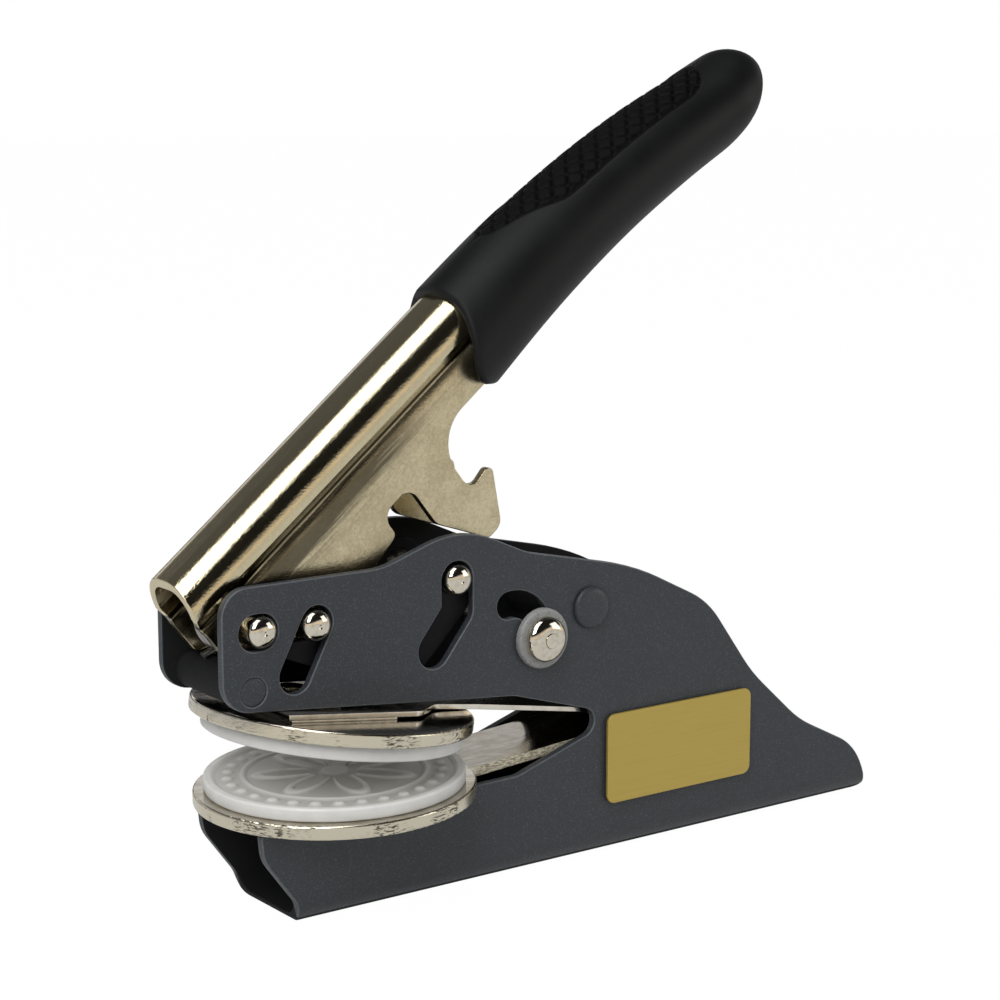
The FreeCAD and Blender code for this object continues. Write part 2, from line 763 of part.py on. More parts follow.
def lever_section(name, inset):
    """The handle's keyhole section as a solid bar, inset by a wall thickness."""
    half_flange = f"(flange_width / 2 - {inset})"
    half_crease = f"(crease_width / 2 - {inset})"
    half_tube = f"(tube_width / 2 - {inset})"
    right = [
        (half_flange, "lever_low", None),
        (half_flange, "flange_top", None),
        (half_crease, "crease_z", "crease_round"),
        (half_tube, "tube_foot", None),
        (half_tube, f"tube_top - {inset}", f"tube_round - {inset}"),
    ]
    left = [(f"-{y}", z, radius) for y, z, radius in reversed(right)]
    body = rounded_outline(name, right + left, "lever_rear - lever_front", "YZ_Plane",
                           symmetric=False)
    bind(body, "Placement.Base.x", "lever_front")
    return body


def make_handle():
    """The lever folded from one sheet, its two cross pins, and the rubber grip."""
    sides = rounded_outline("lever_sides", corners_of(LEVER), "2 * tube_width")
    outer = lever_section("lever_outer", "0")
    inner = lever_section("lever_inner", "sheet_thickness")
    solid = combine("MultiCommon", "lever_solid", sides, outer)
    shell = combine("Cut", "lever_shell", solid, inner)
    pivot_at, drive_at = ("0", "0"), ("drive_along", "drive_below")
    length = "frame_width + 2 * pin_stand"
    bores = combine(
        "MultiFuse", "lever_bores",
        cross_bar("pivot_bore", *pivot_at, "pin_diameter", length),
        cross_bar("drive_bore", *drive_at, "pin_diameter", length),
    )
    pieces = [
        combine("Cut", "handle_lever", shell, bores),
        combine("Cut", "handle_grip", make_grip_solid(), solid),
        cross_bar("pivot_pin", *pivot_at, "pin_diameter", length, "pin_dome"),
        cross_bar("drive_pin", *drive_at, "pin_diameter", length, "pin_dome"),
    ]
    for piece in pieces:
        tilt(piece, "handle_tilt")
        place(piece, x="pivot_x", z="pivot_z")
    return pieces


def make_grip_solid():
    """The grip: a loft through oval stations, crossed with outlines from side and above."""
    body = new_body("grip_loft")
    stations = []
    for number in range(1, len(GRIP) + 1):
        name = f"grip{number}_"
        sketch = new_sketch(body, "YZ_Plane", name + "along")
        centre = vector("0", name + "centre")
        wide = vector(name + "wide", "0")
        high = vector("0", name + "high")
        oval = sketch.addGeometry(Part.Ellipse(centre + wide, centre + high, centre))
        sketch.exposeInternalGeometry(oval)
        hold_point(sketch, oval, 3, "0", name + "centre")
        sketch.addConstraint(Sketcher.Constraint("Horizontal", oval + 1))
        hold(sketch, "Distance", f"2 * {name}wide", oval + 1)
        hold(sketch, "Distance", f"2 * {name}high", oval + 2)
        stations.append(sketch)
    loft = body.newObject("PartDesign::AdditiveLoft", "grip_skin")
    loft.Profile = stations[0]
    loft.Sections = stations[1:]
    doc.recompute()
    front, rear = "grip1_along", f"{name}along"
    top, floor = f"{name}centre + {name}high", f"{name}centre - {name}high"
    side = rounded_outline("grip_side", [
        ("mouth_toe", floor, None), (rear, floor, "grip_nose"),
        (rear, top, "grip_nose"), ("mouth_top", f"{top} + grip_back_fall", None),
    ] + corners_of(MOUTH), "3 * tube_width")
    half = f"{name}wide"
    plan = rounded_outline("grip_plan", [
        (front, f"-({half} + grip_side_taper)", None), (rear, f"-{half}", "grip_end_round"),
        (rear, half, "grip_end_round"), (front, f"{half} + grip_side_taper", None),
    ], "6 * tube_width", "XY_Plane")
    return combine("MultiCommon", "grip_solid", body, side, plan)


def wire_arc(name, radius, angle):
    """A bent piece of spring wire: part of a ring about the coil's axis."""
    arc = doc.addObject("Part::Torus", name)
    bind(arc, "Radius1", radius)
    bind(arc, "Radius2", "wire_diameter / 2")
    bind(arc, "Angle3", angle)
    return arc


def turned(axis, angle):
    return FreeCAD.Rotation(axis, angle)


def make_return_spring():
    """A torsion spring round the pivot pin: a coil of half turns, each leaning so that it
    climbs half the pitch and meets the next one level, with a level foot and arm."""
    across, upright = FreeCAD.Vector(0, 1, 0), FreeCAD.Vector(0, 0, 1)
    quarter = turned(FreeCAD.Vector(1, 0, 0), 90)
    lean = math.degrees(math.atan(value_of("coil_pitch / (4 * coil_radius)")))
    pieces = []
    for number in range(2 * int(value_of("coil_turns"))):
        arc = wire_arc(f"coil_half_turn{number}", f"coil_radius / cos({lean})", "180")
        spin = turned(upright, 180 * number).multiply(turned(across, lean))
        arc.Placement = FreeCAD.Placement(FreeCAD.Vector(0, 0, 0), spin)
        bind(arc, "Placement.Base.z", f"coil_pitch * ({number} + 0.5) / 2")
        pieces.append(arc)
    last = wire_arc("coil_last_arc", "coil_radius", "coil_end_angle")
    bind(last, "Placement.Base.z", "coil_pitch * coil_turns")
    pieces.append(last)
    ends = (
        ("spring_foot", "0", "0", quarter),
        ("spring_arm", "coil_end_angle", "coil_pitch * coil_turns", quarter.inverted()),
    )
    for name, angle, height, tangent in ends:
        leg = doc.addObject("Part::Cylinder", name + "_wire")
        bind(leg, "Radius", "wire_diameter / 2")
        bind(leg, "Height", name)
        spin = turned(upright, value_of(angle))
        leg.Placement = FreeCAD.Placement(FreeCAD.Vector(0, 0, 0), spin.multiply(tangent))
        bind(leg, "Placement.Base.x", f"coil_radius * cos({angle})")
        bind(leg, "Placement.Base.y", f"coil_radius * sin({angle})")
        bind(leg, "Placement.Base.z", height)
        pieces.append(leg)
    doc.recompute()
    spring = combine("MultiFuse", "return_spring", *pieces)
    start = turned(upright, value_of("coil_start_angle"))
    spring.Placement = FreeCAD.Placement(FreeCAD.Vector(0, 0, 0), quarter.multiply(start))
    return [place(spring, x="pivot_x", y="coil_pitch * coil_turns / 2", z="pivot_z")]


def make_lock():
    """The lock pin across both walls, with a washer and a riveted cap on each side."""
    at = ("lock_x + lock_radius * cos(lock_parked_angle)",
          "lock_z + lock_radius * sin(lock_parked_angle)")
    washer_face = "frame_width / 2 + washer_play"
    cap_face = f"{washer_face} + washer_thickness"
    pin = combine(
        "MultiFuse", "lock_pin",
        cross_bar("lock_shaft", *at, "lock_diameter", f"2 * ({cap_face})"),
        cross_bar("lock_tips", *at, "lock_tip_diameter",
                  f"2 * ({cap_face} + cap_thickness + lock_tip_stand)"),
    )
    washer = near_disc("lock_washer", *at, "washer_diameter", washer_face,
                       "washer_thickness", bore="lock_diameter", dome="washer_edge")
    cap = near_disc("lock_cap", *at, "cap_diameter", cap_face, "cap_thickness",
                    bore="lock_tip_diameter", dome="cap_dome")
    return [
        place(pin),
        place(mirrored_pair("lock_washers", washer)),
        place(mirrored_pair("lock_caps", cap)),
    ]


def export(pieces):
    """Checks every object of the document, then writes one file per piece."""
    doc.recompute()
    for item in doc.Objects:
        if "Invalid" in item.State or "Error" in item.State:
            raise RuntimeError(f"{item.Label}: {item.State}")
    os.makedirs("parts", exist_ok=True)
    for piece in pieces:
        shape = piece.Shape
        if shape.isNull() or not shape.isValid() or shape.Volume <= 0:
            raise RuntimeError(f"{piece.Label}: bad shape")
        shape.exportStep(os.path.join("parts", piece.Label + ".step"))
        print(piece.Label, len(shape.Solids), round(shape.Volume, 1))


fill_sheet()
lower_set, insert_bores = make_lower_set()
export(
    make_frame() + make_spacers() + make_nameplate() + lower_set
    + make_upper_set(insert_bores) + make_press() + make_handle()
    + make_return_spring() + make_lock()
)
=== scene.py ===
import bmesh
import bpy
from collections import namedtuple
from math import atan2, cos, pi, radians, sin, sqrt
from mathutils import Matrix, Vector


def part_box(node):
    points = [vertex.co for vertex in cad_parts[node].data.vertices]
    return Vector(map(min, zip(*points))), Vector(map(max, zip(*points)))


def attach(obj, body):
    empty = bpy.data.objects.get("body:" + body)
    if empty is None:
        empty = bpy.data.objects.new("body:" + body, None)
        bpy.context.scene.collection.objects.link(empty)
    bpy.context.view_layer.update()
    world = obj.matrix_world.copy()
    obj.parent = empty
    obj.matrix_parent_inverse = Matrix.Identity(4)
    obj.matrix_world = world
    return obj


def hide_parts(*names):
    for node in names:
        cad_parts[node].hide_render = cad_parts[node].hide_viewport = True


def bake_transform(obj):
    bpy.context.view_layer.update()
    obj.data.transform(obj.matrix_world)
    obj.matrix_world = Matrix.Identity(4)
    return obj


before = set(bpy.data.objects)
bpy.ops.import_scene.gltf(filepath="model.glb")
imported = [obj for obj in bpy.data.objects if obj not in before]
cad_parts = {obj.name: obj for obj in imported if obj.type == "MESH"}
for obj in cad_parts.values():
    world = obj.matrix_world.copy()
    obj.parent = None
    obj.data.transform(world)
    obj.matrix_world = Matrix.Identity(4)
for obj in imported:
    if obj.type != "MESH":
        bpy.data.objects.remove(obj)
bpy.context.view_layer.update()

# Hand-held seal embosser: powder-coated folded frame, nickel-plated die set and lever,
# rubber grip, domed pins and a lock pin.  Sizes are millimetres, as on a drawing; every
# mesh is in metres, in the same frame as the solids.

MM = 0.001


# ---------------------------------------------------------------- sizes

# the frame's two walls, and the tubes, pins and rings that go through them
SHEET = 1.5
WALL_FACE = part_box("frame")[1].y / MM
INNER_WALL = WALL_FACE - SHEET
PIN_RADIUS, PIN_DOME = 2.5, 1.5
PIN_FACE = WALL_FACE + PIN_DOME
STUD_FOOT = 6.7
REAR_TUBE, REAR_NECK = 4.0, 2.5
FRONT_TUBE, FRONT_NECK = 3.0, 2.3
# from rim to middle: distance from the tube's axis, height over the wall's face
HEADED_END = [(REAR_NECK, -0.03), (3.2, -0.03), (3.45, 0.05), (3.6, 0.25), (3.58, 0.47),
              (3.4, 0.73), (3.05, 0.93), (2.5, 1.05), (1.2, 1.10), (0.0, 1.10)]
FLUSH_END = [(FRONT_NECK, -0.23), (2.08, -0.03), (1.9, 0.0), (0.0, 0.0)]
WASHER_GAP, WASHER_THICKNESS, CAP_HEIGHT = 0.06, 1.2, 2.0
WASHER_FOOT = WALL_FACE + WASHER_GAP
CAP_FOOT = WASHER_FOOT + WASHER_THICKNESS

# the die set: two discs, the lower one with a neck, and a spring strip that is fixed to
# the neck, bends, and is held by the upper disc
DISC_RADIUS, LOWER_X, UPPER_X = 23.0, -47.9, -48.5
NECK_SIDE = 7.65
STRIP_FIXED, STRIP_HELD, STRIP_CUTS = 7.0, -22.3, 16
DIE_RADIUS, DIE_EASE = 21.25, 0.4
UPPER_LEAN, UPPER_SHIFT, UPPER_LEVEL = 7.5, 0.4, 30.05

# a disc's centre and radius, and how much painted dark reflection darkens its flat sides, from 0
# to 1
Disc = namedtuple("Disc", "x radius darkness")
LOWER_DISC = Disc(LOWER_X, DISC_RADIUS, 0.0)
UPPER_DISC = Disc(UPPER_X, DISC_RADIUS, 0.85)

# a die's centre and its lean in degrees; its base and face as heights over that centre,
# square to the die, and whether the face looks up (1) or down (-1)
DieSeat = namedtuple("DieSeat", "x z lean base face up")
LOWER_SEAT = DieSeat(x=LOWER_X, z=16.9, lean=-1.0, base=2.3, face=4.5, up=1.0)
UPPER_SEAT = DieSeat(x=UPPER_X + UPPER_SHIFT * cos(radians(UPPER_LEAN)),
                     z=UPPER_LEVEL - UPPER_SHIFT * sin(radians(UPPER_LEAN)),
                     lean=UPPER_LEAN, base=0.0, face=-2.5, up=-1.0)

# the dies' generic design
RELIEF_REACH, RELIEF_SLOPE, RELIEF_DEPTH = 19.9, 0.5, 0.45
BEADS, BEAD_RING, FINE_RING = 30, 17.4, 14.9
PETALS, PETAL_REACH, HUB_RADIUS = 7, 12.6, 1.8

# the lever, drawn along the handle from its pivot pin
HANDLE_TILT = radians(39.0)
PIVOT = sum(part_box("pivot_pin"), Vector()) / 2
HANDLE = Matrix.Translation(PIVOT) @ Matrix.Rotation(-HANDLE_TILT, 4, "Y")
FOLD_LINE = 5.6

# the grip, drawn in the same way
GRIP_STATIONS = [
    # along the handle, centre, half height, half width
    (54.5, 4.7, 10.05, 10.15),
    (76.0, 5.3, 9.35, 9.6),
    (94.0, 4.6, 8.75, 9.35),
    (110.0, 2.7, 8.3, 9.15),
    (124.0, 0.1, 7.8, 8.8),
    (137.0, -2.2, 7.4, 8.7),
]
GRIP_TIP = 136.7
GRIP_AROUND = 248
FINE_RINGS, COARSE_RINGS = 0.26, 1.3
GRIP_MOUTH = [
    # height over the pivot pin, and how far along the mouth's edge lies there
    (-9.0, 63.4), (-2.6, 57.1), (-1.0, 55.6), (0.4, 54.98), (1.8, 54.98), (3.2, 55.3),
    (11.0, 59.7), (12.8, 60.45), (14.5, 60.55), (20.0, 60.9),
]
MOUTH_MIDDLE, MOUTH_BLEND, MOUTH_LIP = 58.0, 67.0, 1.0
# how long and how deep the nose's rounding is, and how full
NOSE_TOP, NOSE_BOTTOM, NOSE_SIDE = (6.0, 5.0, 0.5), (17.0, 8.8, 0.70), (11.5, 8.4, 0.5)
NOSE_RINGS = 8.2
PATCH_EDGE = [
    # along the handle, half width of the crossed patch across the top
    (73.4, 0.0), (74.6, 2.0), (77.5, 3.2), (80.0, 3.9), (82.9, 5.0), (85.0, 5.9),
    (87.0, 6.6), (89.2, 6.85), (95.0, 6.8), (105.0, 6.55), (115.0, 6.3), (119.6, 6.1),
    (121.6, 5.5), (123.4, 4.4), (125.1, 2.6), (126.2, 0.0),
]
PATCH_START, PATCH_END = 72.0, 127.5
LATTICE, GROOVE_DEPTH, PATCH_DEPTH = 3.67, 0.50, 0.14


# ---------------------------------------------------------------- shader sums

class Value:
    """One output of a finish's nodes; sums written on it become nodes."""

    def __init__(self, finish, socket):
        self.finish, self.socket = finish, socket

    def sum_node(self, operation, *terms):
        """A Math node on this value and others."""
        return self.finish.node("ShaderNodeMath", {"operation": operation}, terms)

    def __add__(self, other):
        return self.sum_node("ADD", self, other)

    def __radd__(self, other):
        return self.sum_node("ADD", other, self)

    def __sub__(self, other):
        return self.sum_node("SUBTRACT", self, other)

    def __rsub__(self, other):
        return self.sum_node("SUBTRACT", other, self)

    def __mul__(self, other):
        return self.sum_node("MULTIPLY", self, other)

    def __rmul__(self, other):
        return self.sum_node("MULTIPLY", other, self)

    def __truediv__(self, other):
        return self.sum_node("DIVIDE", self, other)

    def size(self):
        return self.sum_node("ABSOLUTE", self)

    def least(self, other):
        return self.sum_node("MINIMUM", self, other)

    def most(self, other):
        return self.sum_node("MAXIMUM", self, other)

    def root(self):
        return self.sum_node("SQRT", self)

    def bearing(self, other):
        return self.sum_node("ARCTAN2", self, other)

    def ramp(self, low, high, start=0.0, end=1.0):
        """Runs smoothly from start to end as the value goes from low to high."""
        return self.finish.node(
            "ShaderNodeMapRange", {"interpolation_type": "SMOOTHSTEP"},
            {"Value": self, "From Min": low, "From Max": high, "To Min": start, "To Max": end})


class Finish:
    """A material, or the world, being mixed: its nodes and what feeds their sockets."""

    def __init__(self, name, kept_in="materials"):
        self.block = getattr(bpy.data, kept_in).new(name)
        self.block.use_nodes = True
        self.tree = self.block.node_tree
        self.tree.nodes.clear()

    def node(self, kind, settings=None, inputs=None, output=0):
        """Adds a node: its settings first, then the values or links of its sockets."""
        made = self.tree.nodes.new(kind)
        for setting, choice in (settings or {}).items():
            setattr(made, setting, choice)
        pairs = inputs.items() if isinstance(inputs, dict) else enumerate(inputs or ())
        for socket, value in pairs:
            self.feed(made.inputs[socket], value)
        return Value(self, made.outputs[output]) if made.outputs else None

    def feed(self, socket, value):
        """Links a value to a socket, or sets the socket to a number, a place or a colour."""
        if isinstance(value, Value):
            self.tree.links.new(value.socket, socket)
        elif isinstance(value, tuple) and len(socket.default_value) == 4:
            socket.default_value = (*value, 1.0)
        else:
            socket.default_value = value

    def place(self, stretch=(1, 1, 1)):
        """Object coordinates in millimetres, stretched."""
        point = self.node("ShaderNodeTexCoord", output="Object")
        return self.node("ShaderNodeMapping", {"vector_type": "POINT"},
                         {"Vector": point, "Scale": tuple(s / MM for s in stretch)})

    def noise(self, size, detail=2.0, rough=0.5, stretch=(1, 1, 1)):
        """Noise whose blotches are about this many millimetres across."""
        return self.node(
            "ShaderNodeTexNoise", {"noise_dimensions": "3D"},
            {"Vector": self.place(stretch), "Scale": 1 / size, "Detail": detail,
             "Roughness": rough}, output="Fac")

    def grains(self, size):
        """A random number for each grain of this many millimetres."""
        cell = self.node("ShaderNodeTexVoronoi", {"feature": "F1"},
                         {"Vector": self.place(), "Scale": 1 / size}, output="Color")
        return self.node("ShaderNodeSeparateColor", None, {"Color": cell}, output="Red")

    def axis(self, letter):
        """One Object coordinate, in millimetres."""
        return self.node("ShaderNodeSeparateXYZ", None, {"Vector": self.place()},
                         output=letter)

    def streaks(self, across, up, length, height):
        """Noise over two running values, in streaks of this length and height."""
        spot = self.node("ShaderNodeCombineXYZ", None, (across / length, up / height, 0.0))
        return self.node("ShaderNodeTexNoise", {"noise_dimensions": "3D"},
                         {"Vector": spot, "Scale": 1.0, "Detail": 3.0, "Roughness": 0.6},
                         output="Fac")

    def blend(self, factor, first, second):
        """A colour between two colours."""
        return self.node(
            "ShaderNodeMix", {"data_type": "RGBA", "clamp_factor": True},
            {0: factor, 6: first, 7: second}, output=2)

    def bumps(self, height, depth, strength=1.0, over=None):
        """A normal from a height that runs 0 to 1 over this many millimetres."""
        inputs = {"Height": height, "Distance": depth * MM, "Strength": strength}
        if over is not None:
            inputs["Normal"] = over
        return self.node("ShaderNodeBump", None, inputs, output="Normal")

    def surface(self, **values):
        """The surface itself, with each named socket set or linked."""
        shader = self.node("ShaderNodeBsdfPrincipled",
                           None, {name.replace("_", " "): v for name, v in values.items()})
        self.node("ShaderNodeOutputMaterial", None, {"Surface": shader})
        return self.block


def toned(colour, share):
    """The same colour, this many times as bright."""
    return tuple(share * part for part in colour)


# ---------------------------------------------------------------- finishes

def powder_coat(name, colour, glint, roughness):
    """Dark satin powder coat: fine flakes and a slight orange peel, with painted shade that
    makes the inner faces of the walls near black; dull there."""
    coat = Finish(name)
    flake = coat.grains(0.15)
    tone = coat.noise(9.0, 3.0)
    shade = coat.blend(tone.ramp(0.3, 0.7, 0.0, 0.35), colour, toned(colour, 0.8))
    shade = coat.blend(flake.ramp(0.82, 1.0, 0.0, 0.42), shade, glint)
    # painted shade: the walls' inner faces, above the base, are blended to near black
    inside = coat.axis("Y").size().ramp(INNER_WALL + 0.05, INNER_WALL + 0.2, 1.0, 0.0)
    over_base = coat.axis("Z").ramp(0.05, 0.2, 0.0, 0.9)
    shade = coat.blend(inside * over_base, shade, (0.002, 0.002, 0.0025))
    peel = coat.noise(0.75, 2.0)
    grit = coat.noise(0.16, 1.0)
    skin = coat.bumps(peel, 0.03, 0.45, over=coat.bumps(grit, 0.012, 0.5))
    return coat.surface(Base_Color=shade,
                        Roughness=flake.ramp(0.6, 1.0, roughness, 0.30).most(inside * 0.9),
                        Normal=skin, Specular_IOR_Level=0.45)


def from_centre(finish, x):
    """How far out from a centre at x a point lies along X, along Y and straight."""
    out = finish.axis("X") - x
    across = finish.axis("Y")
    return out, across, (out * out + across * across).root()


def nickel_plate(name, colour, shadow, roughness, disc=None):
    """Warm nickel plate over rolled steel: mottled, finely pitted, with rolling lines."""
    plate = Finish(name)
    mottle = plate.noise(3.2, 4.0, 0.6)
    lines = plate.noise(0.5, 2.0, 0.5, stretch=(0.06, 1, 1))
    pits = plate.noise(0.30, 2.0, 0.6)
    shade = plate.blend(mottle.ramp(0.38, 0.66), colour, shadow)
    rough = mottle.ramp(0.3, 0.7, roughness, roughness + 0.05) + lines * 0.03
    skin = plate.bumps(pits, 0.012, 0.6, over=plate.bumps(lines, 0.008, 0.4))
    metal = 1.0
    if disc:
        # painted dark reflection: the disc's flat sides are darkened towards 0.15 of the colour,
        # by its share
        flat_side_painted_reflection = from_centre(plate, disc.x)[2].ramp(disc.radius - 1.6, disc.radius - 0.6,
                                                       disc.darkness, 0.0)
        shade = plate.blend(flat_side_painted_reflection, shade, toned(colour, 0.15))
        shade, rough, skin = punched_rim(plate, disc, shade, rough, skin)
        shade, rough, metal = neck_sides_painted_reflection(plate, disc, shade, rough)
    return plate.surface(Base_Color=shade, Metallic=metal, Roughness=rough, Normal=skin)


def punched_rim(plate, disc, shade, rough, skin):
    """A disc's rim as the punch leaves it: golden, with dark torn marks in patches."""
    out, across, reach = from_centre(plate, disc.x)
    at_rim = reach.ramp(disc.radius - 0.45, disc.radius - 0.25) \
        * reach.ramp(disc.radius + 0.15, disc.radius + 0.4, 1.0, 0.0)
    round_rim = across.bearing(out) * disc.radius
    marks = plate.streaks(round_rim, plate.axis("Z"), 1.3, 0.30)
    patches = plate.streaks(round_rim, plate.axis("Z") * 0.2, 9.0, 3.0)
    torn = marks.ramp(0.50, 0.57) * patches.ramp(0.46, 0.56) * at_rim
    shade = plate.blend(at_rim, shade, (0.70, 0.65, 0.52))
    shade = plate.blend(torn * 0.85, shade, (0.035, 0.028, 0.018))
    return shade, rough + at_rim * 0.10 + torn * 0.25, plate.bumps(marks, 0.05, 0.5, over=skin)


def neck_sides_painted_reflection(plate, disc, shade, rough):
    """The sides of the neck behind a disc: rough and speckled as the shear leaves them, and
    coloured pale and barely metallic as a painted reflection of the lit floor.
    """
    on_side = plate.axis("Y").size().ramp(NECK_SIDE - 0.22, NECK_SIDE - 0.1) \
        * plate.axis("X").ramp(disc.x + disc.radius - 0.5, disc.x + disc.radius + 0.5)
    crumbs = plate.streaks(plate.axis("X"), plate.axis("Z"), 0.9, 0.3).ramp(0.42, 0.6)
    # painted reflection: a pale speckled colour in place of the floor that the sides mirror
    speckled = plate.blend(crumbs, (0.80, 0.74, 0.56), (0.34, 0.30, 0.22))
    return plate.blend(on_side, shade, speckled), rough + on_side * 0.45, 1.0 - on_side * 0.85


def on_handle(finish):
    """How far along the handle a point lies, and how high over its pivot pin."""
    out = finish.axis("X") - PIVOT.x / MM
    rise = finish.axis("Z") - PIVOT.z / MM
    return (out * cos(HANDLE_TILT) + rise * sin(HANDLE_TILT),
            rise * cos(HANDLE_TILT) - out * sin(HANDLE_TILT))


def folded_nickel(name, colour, shadow, roughness):
    """The lever's plate: bright on its tube, with painted dark reflection along the flange
    and painted shade in the crease at the fold.
    """
    lever = Finish(name)
    along, height = on_handle(lever)
    mottle = lever.noise(5.0, 3.0, 0.5)
    fine = lever.noise(0.5, 3.0, 0.7)
    smears_and_reflection_streaks = lever.streaks(along, height, 11.0, 0.5)
    pits = lever.noise(0.34, 2.0, 0.65)
    flange = height.ramp(FOLD_LINE - 0.7, FOLD_LINE + 0.3, 1.0, 0.0)
    reflection_band_by_fold = (height - (FOLD_LINE - 2.6)).size().ramp(0.5, 2.6, 1.0, 0.0)
    below_fold = height.ramp(-3.0, 3.5)
    # painted dark reflection on the flange: streaks strongest towards the pivot, and a band below
    # the fold
    painted_dark_reflection = (smears_and_reflection_streaks.ramp(0.40, 0.58) * below_fold * along.ramp(14.0, 50.0, 0.8, 0.15)
             + reflection_band_by_fold * along.ramp(26.0, 50.0, 1.0, 0.1)).least(1.0) * flange
    cloud = (mottle * 0.45 + fine * 0.55).ramp(0.36, 0.66) * flange.ramp(0.0, 1.0, 0.35, 1.0)
    shade = lever.blend(cloud, colour, shadow)
    shade = lever.blend(painted_dark_reflection * 0.88, shade, toned(colour, 0.12))
    # painted shade: a near-black line along the crease of the fold
    crease = (height - FOLD_LINE).size().ramp(0.15, 0.55, 0.95, 0.0)
    shade = lever.blend(crease, shade, (0.010, 0.007, 0.004))
    rough = (mottle.ramp(0.3, 0.7, roughness, roughness + 0.04) + flange * 0.16
             + along.ramp(15.0, 55.0, 0.0, 0.02))
    skin = lever.bumps(pits, 0.04, 0.7, over=lever.bumps(smears_and_reflection_streaks, 0.02, 0.35))
    return lever.surface(Base_Color=shade, Metallic=1.0, Roughness=rough, Normal=skin)


def polished_nickel(name, colour):
    """Turned and polished nickel for the domed pins."""
    pin = Finish(name)
    haze = pin.noise(0.9, 3.0)
    shade = pin.blend(haze.ramp(0.4, 0.75), colour, toned(colour, 0.8))
    return pin.surface(Base_Color=shade, Metallic=1.0, Roughness=haze.ramp(0.3, 0.8, 0.07, 0.15),
                       Normal=pin.bumps(pin.noise(0.3, 2.0), 0.005, 0.4))


def bar_paint(name):
    """Plain black paint on the press bar."""
    paint = Finish(name)
    haze = paint.noise(2.4, 3.0)
    shade = paint.blend(haze.ramp(0.35, 0.7), (0.005, 0.005, 0.006), (0.010, 0.010, 0.012))
    return paint.surface(Base_Color=shade, Roughness=haze.ramp(0.3, 0.7, 0.5, 0.62),
                         Specular_IOR_Level=0.16,
                         Normal=paint.bumps(paint.noise(0.5, 2.0), 0.02, 0.5))


def moulded_white(name, colour, recess_painted_shade, seat):
    """White engraving plastic, satin, with painted shade: greyer where the engraving lies deep."""
    plastic = Finish(name)
    cloud = plastic.noise(4.0, 3.0)
    shade = plastic.blend(cloud.ramp(0.3, 0.7), colour, toned(colour, 0.92))
    out, _, reach = from_centre(plastic, seat.x)
    rise = plastic.axis("Z") - seat.z
    level = rise * cos(radians(seat.lean)) + out * sin(radians(seat.lean))
    # painted shade: the deeper the relief lies below the face, the greyer its colour
    deep = ((seat.face - level) * seat.up).ramp(0.08, 0.42) \
        * reach.ramp(RELIEF_REACH - 0.6, RELIEF_REACH - 0.1, 1.0, 0.0)
    shade = plastic.blend(deep, shade, recess_painted_shade)
    return plastic.surface(Base_Color=shade, Roughness=cloud.ramp(0.3, 0.7, 0.34, 0.44),
                           Normal=plastic.bumps(plastic.noise(0.3, 2.0), 0.01, 0.4))


def soft_rubber(name, colour, dull, shine):
    """Black rubber with a fine moulded grain that catches a dull light."""
    rubber = Finish(name)
    bloom = rubber.noise(14.0, 3.0)
    shade = rubber.blend(bloom.ramp(0.3, 0.7), colour, toned(colour, 1.6))
    grain = rubber.noise(0.22, 2.0, 0.6)
    return rubber.surface(Base_Color=shade, Roughness=bloom.ramp(0.3, 0.7, dull, dull + 0.08),
                          Specular_IOR_Level=shine, Normal=rubber.bumps(grain, 0.02, 0.35))


def gold_brass(name):
    """Satin brass plate, brushed along its length."""
    brass = Finish(name)
    brush = brass.noise(0.25, 3.0, 0.6, stretch=(0.03, 1, 1))
    shade = brass.blend(brush.ramp(0.3, 0.7), (0.56, 0.42, 0.104), (0.54, 0.405, 0.10))
    return brass.surface(Base_Color=shade, Metallic=0.55,
                         Roughness=brush.ramp(0.3, 0.7, 0.45, 0.52),
                         Normal=brass.bumps(brush, 0.004, 0.3))


def foam_tape(name):
    """Dark adhesive foam under the nameplate; its dark rim round the plate is partly painted
    shadow.
    """
    foam = Finish(name)
    cells = foam.noise(0.3, 2.0)
    return foam.surface(Base_Color=foam.blend(cells, (0.018, 0.016, 0.014), (0.035, 0.032, 0.028)),
                        Roughness=0.8, Normal=foam.bumps(cells, 0.06, 0.6))


def frosted_ring(name):
    """Milky washer plastic that lets the light through."""
    ring = Finish(name)
    cloud = ring.noise(1.2, 2.0)
    return ring.surface(
        Base_Color=ring.blend(cloud.ramp(0.3, 0.7), (0.40, 0.40, 0.39), (0.44, 0.44, 0.43)),
        Roughness=cloud.ramp(0.3, 0.7, 0.25, 0.4), Transmission_Weight=0.30, IOR=1.45)


def drawn_wire(name):
    """Bright spring wire with drawing marks."""
    wire = Finish(name)
    marks = wire.noise(0.4, 2.0, stretch=(0.2, 1, 1))
    return wire.surface(Base_Color=wire.blend(marks, (0.42, 0.41, 0.39), (0.30, 0.29, 0.28)),
                        Metallic=1.0, Roughness=0.3, Normal=wire.bumps(marks, 0.01, 0.5))


FRAME_COAT = powder_coat("frame_powder_coat", (0.036, 0.042, 0.050), (0.13, 0.145, 0.165), 0.46)
